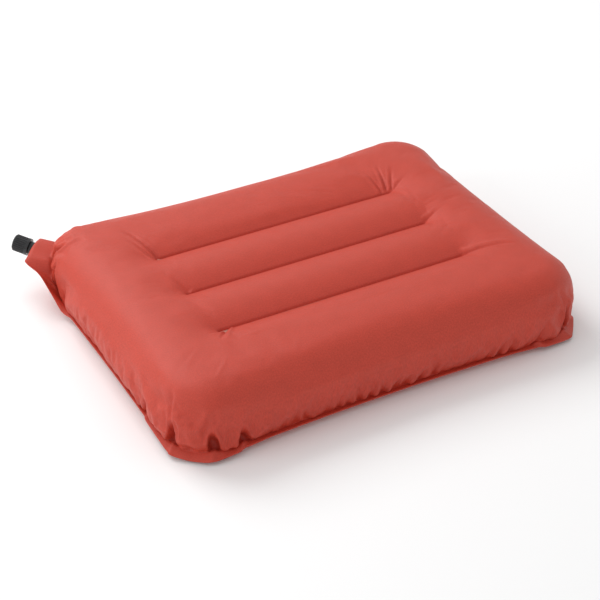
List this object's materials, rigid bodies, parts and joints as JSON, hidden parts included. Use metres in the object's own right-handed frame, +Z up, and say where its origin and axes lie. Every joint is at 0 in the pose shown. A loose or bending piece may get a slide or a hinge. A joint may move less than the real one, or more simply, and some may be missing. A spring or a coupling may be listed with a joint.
{
  "type": "inflatable camp pillow",
  "caption": "Rectangular air pillow with lengthwise lobes over internal baffles, a welded edge flange and a screw valve in one corner.",
  "frame": {"origin": "centre of the overall box, at ground level", "axes": "+X along the lobes, +Y across them towards the valve corner, +Z up"},
  "size_m": [0.4718, 0.3712, 0.075],
  "materials": {
    "shell_fabric": "satin woven polyester with an airtight coating inside",
    "baffle_fabric": "coated both sides",
    "weld_collar": "flexible weldable plastic",
    "valve_plastic": "moulded, matte",
    "cap_plastic": "moulded, fine fluting, satin ring",
    "seal_rubber": "matte"
  },
  "bodies": {
    "pillow": {"top_panel": "shell_fabric", "bottom_panel": "shell_fabric", "front_baffle": "baffle_fabric", "middle_baffle": "baffle_fabric", "rear_baffle": "baffle_fabric", "valve_boat": "weld_collar", "valve_stem": "valve_plastic", "valve_pintle": "valve_plastic", "pintle_seal": "seal_rubber"},
    "seal": {"cap_seal": "seal_rubber"},
    "cap": {"twist_cap": "cap_plastic"}
  },
  "joints": [
    {"name": "cap_rise", "type": "slide", "parent": "pillow", "child": "seal", "axis": [-0.689, 0.689, 0.225], "range_m": [0, 0.004]},
    {"name": "cap_turn", "type": "hinge", "parent": "seal", "child": "cap", "pos_m": [-0.21574, 0.16547, 0.045], "axis": [-0.689, 0.689, 0.225], "range_deg": [0, 360]}
  ],
  "couplings": [
    {"joint": "cap_rise", "follows": "cap_turn", "m_per_rad": 0.0006366}
  ]
}
